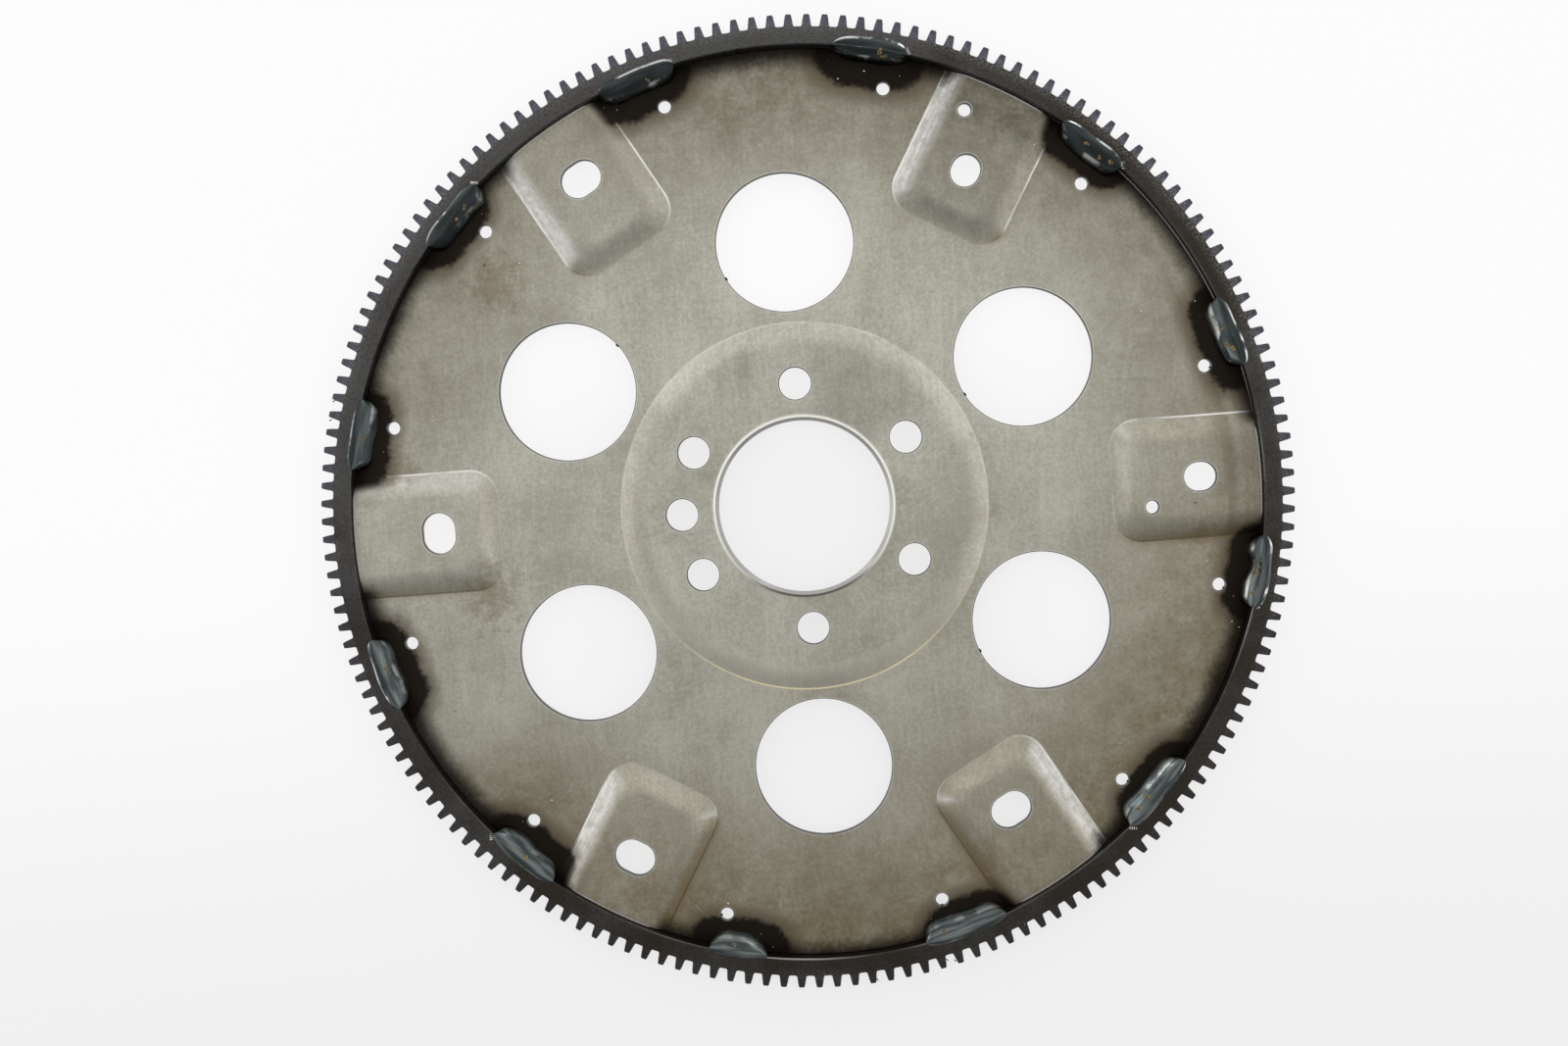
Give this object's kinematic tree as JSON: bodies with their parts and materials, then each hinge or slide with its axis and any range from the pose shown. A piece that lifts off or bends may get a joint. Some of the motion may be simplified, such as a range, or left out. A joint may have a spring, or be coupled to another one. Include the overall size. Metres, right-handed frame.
{
  "type": "flexplate",
  "caption": "Stamped steel flexplate disc with raised hub and converter pads, lightening holes, and a starter ring gear welded round its rim.",
  "frame": {"origin": "on the crankshaft axis, in the plane of the ring gear's engine-side face, on which the part lies", "axes": "+Z along the crankshaft axis towards the torque converter, +X through the middle of the converter pad whose hole is the narrow one of the larger bolt circle"},
  "size_m": [0.3592, 0.3592, 0.011],
  "materials": {
    "disc_steel": "bare mill-finish steel, mottled, with brown heat stains at the welds",
    "ring_steel": "dark hardened steel, matt, with bare metal at the tooth roots",
    "weld_metal": "glossy blue-grey weld metal with brown slag spots"
  },
  "bodies": {
    "root": {"stamped_disc": "disc_steel", "ring_gear": "ring_steel", "weld_bead_01": "weld_metal", "weld_bead_02": "weld_metal", "weld_bead_03": "weld_metal", "weld_bead_04": "weld_metal", "weld_bead_05": "weld_metal", "weld_bead_06": "weld_metal", "weld_bead_07": "weld_metal", "weld_bead_08": "weld_metal", "weld_bead_09": "weld_metal", "weld_bead_10": "weld_metal", "weld_bead_11": "weld_metal", "weld_bead_12": "weld_metal"}
  },
  "joints": []
}
